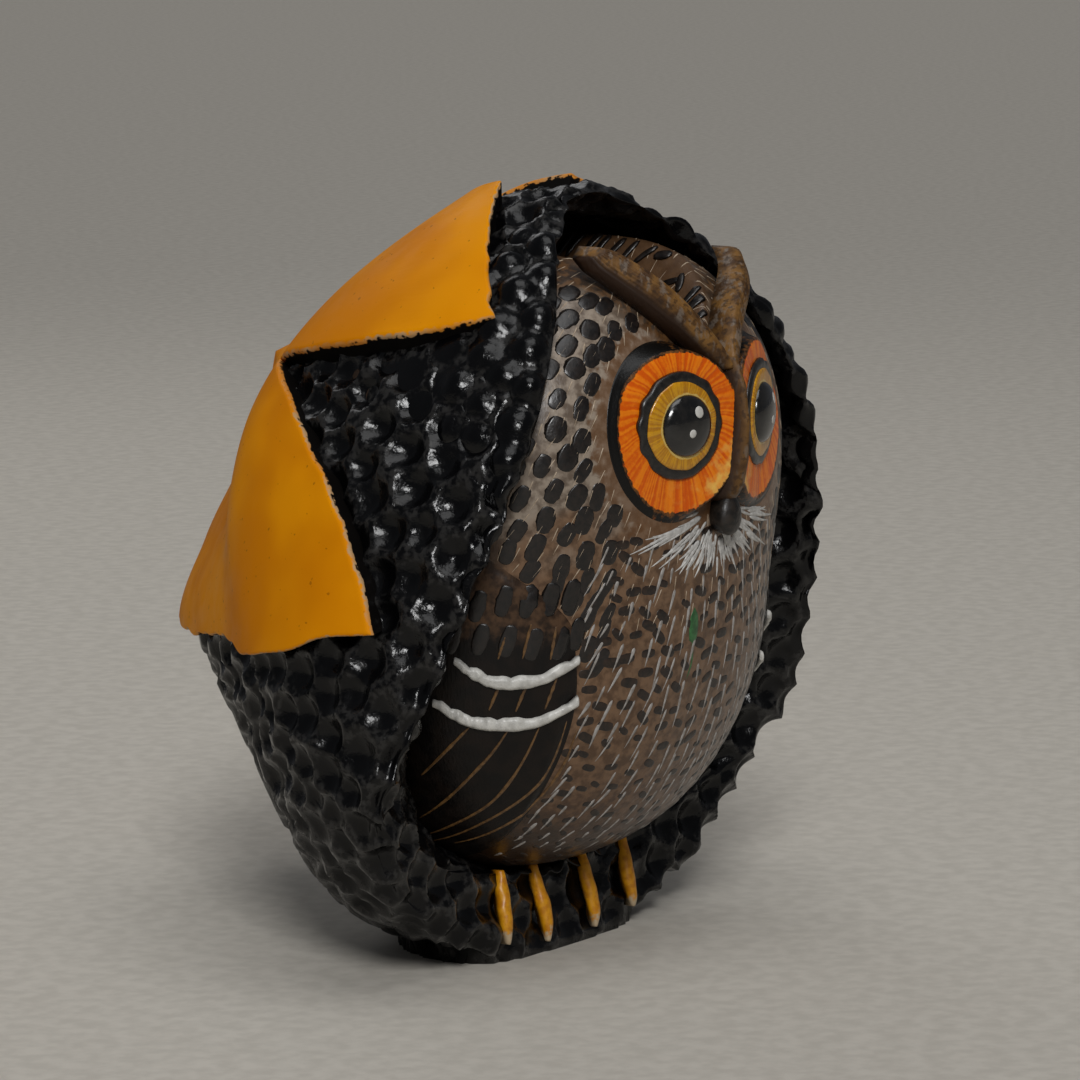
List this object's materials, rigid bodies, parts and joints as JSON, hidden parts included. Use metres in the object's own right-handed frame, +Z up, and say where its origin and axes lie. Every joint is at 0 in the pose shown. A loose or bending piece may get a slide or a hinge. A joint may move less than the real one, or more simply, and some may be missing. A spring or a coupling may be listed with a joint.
{
  "type": "carved owl figurine",
  "caption": "Painted wooden owl seated in a black gouge-dimpled hood with raised smooth orange petals on its back, for a shelf.",
  "frame": {"origin": "on the floor, under the middle of the shell", "axes": "+Z up, the owl looks along -Y, its right side is at -X"},
  "size_m": [0.0838, 0.0703, 0.0856],
  "materials": {
    "black_lacquered_wood": "gloss black lacquer over gouge-dimpled wood",
    "orange_satin_wood": "satin orange-yellow paint with pale bare edges",
    "painted_owl_wood": "satin brown paint with fine dark and pale brush strokes",
    "eye_orange": "gloss orange paint with fine radial lines",
    "eye_yellow": "gloss yellow paint",
    "gloss_black": "wet-look gloss black paint",
    "white_paint": "thick white brush paint",
    "wing_dark_wood": "satin black-brown paint with gold-brown feather lines",
    "toe_yellow": "satin yellow paint with pale bare tips"
  },
  "bodies": {
    "root": {"shell": "black_lacquered_wood", "petal_upper_right": "orange_satin_wood", "petal_upper_left": "orange_satin_wood", "petal_lower_right": "orange_satin_wood", "petal_lower_left": "orange_satin_wood", "owl_body": "painted_owl_wood", "brow_right": "painted_owl_wood", "brow_left": "painted_owl_wood", "eye_disc_right": "eye_orange", "eye_disc_left": "eye_orange", "iris_right": "eye_yellow", "iris_left": "eye_yellow", "pupil_right": "gloss_black", "pupil_left": "gloss_black", "beak": "gloss_black", "wing_right": "wing_dark_wood", "wing_left": "wing_dark_wood", "wing_bar_upper_right": "white_paint", "wing_bar_lower_right": "white_paint", "wing_bar_upper_left": "white_paint", "wing_bar_lower_left": "white_paint", "toe_right_outer": "toe_yellow", "toe_right_inner": "toe_yellow", "toe_left_inner": "toe_yellow", "toe_left_outer": "toe_yellow"}
  },
  "joints": []
}
